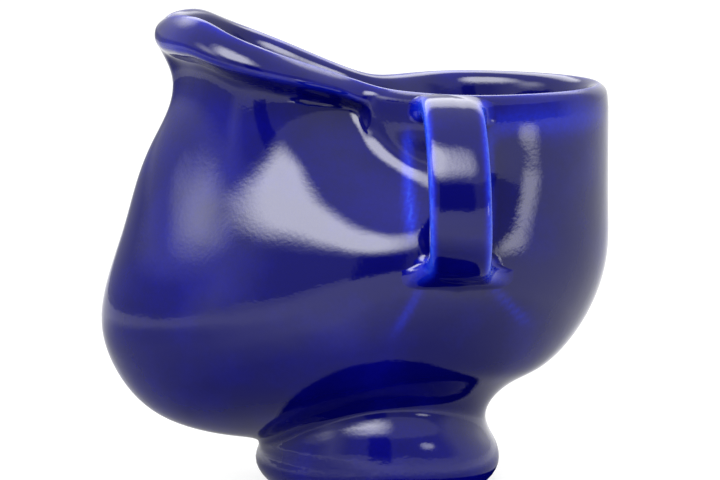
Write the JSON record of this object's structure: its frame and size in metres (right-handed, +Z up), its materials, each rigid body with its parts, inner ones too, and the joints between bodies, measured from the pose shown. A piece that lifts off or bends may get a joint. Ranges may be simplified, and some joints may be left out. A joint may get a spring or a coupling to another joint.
{
  "type": "shaving mug",
  "caption": "Glazed shaving scuttle: a round soap bowl with a drained tray joins a raised brush spout with a rolled lip over an egg-shaped well, with a rounded foot and a strap handle.",
  "frame": {"origin": "centre of the bounding box's footprint, on the surface the foot ring stands on", "axes": "+X from the brush spout towards the soap bowl, +Y away from the strap handle, +Z up"},
  "size_m": [0.1496, 0.1084, 0.1393],
  "materials": {
    "cobalt_glaze": "deep cobalt blue gloss glaze, lighter where it thins over edges"
  },
  "bodies": {
    "root": {"vessel_body": "cobalt_glaze", "foot_ring": "cobalt_glaze", "strap_handle": "cobalt_glaze", "soap_tray": "cobalt_glaze", "tray_dam": "cobalt_glaze"}
  },
  "joints": []
}
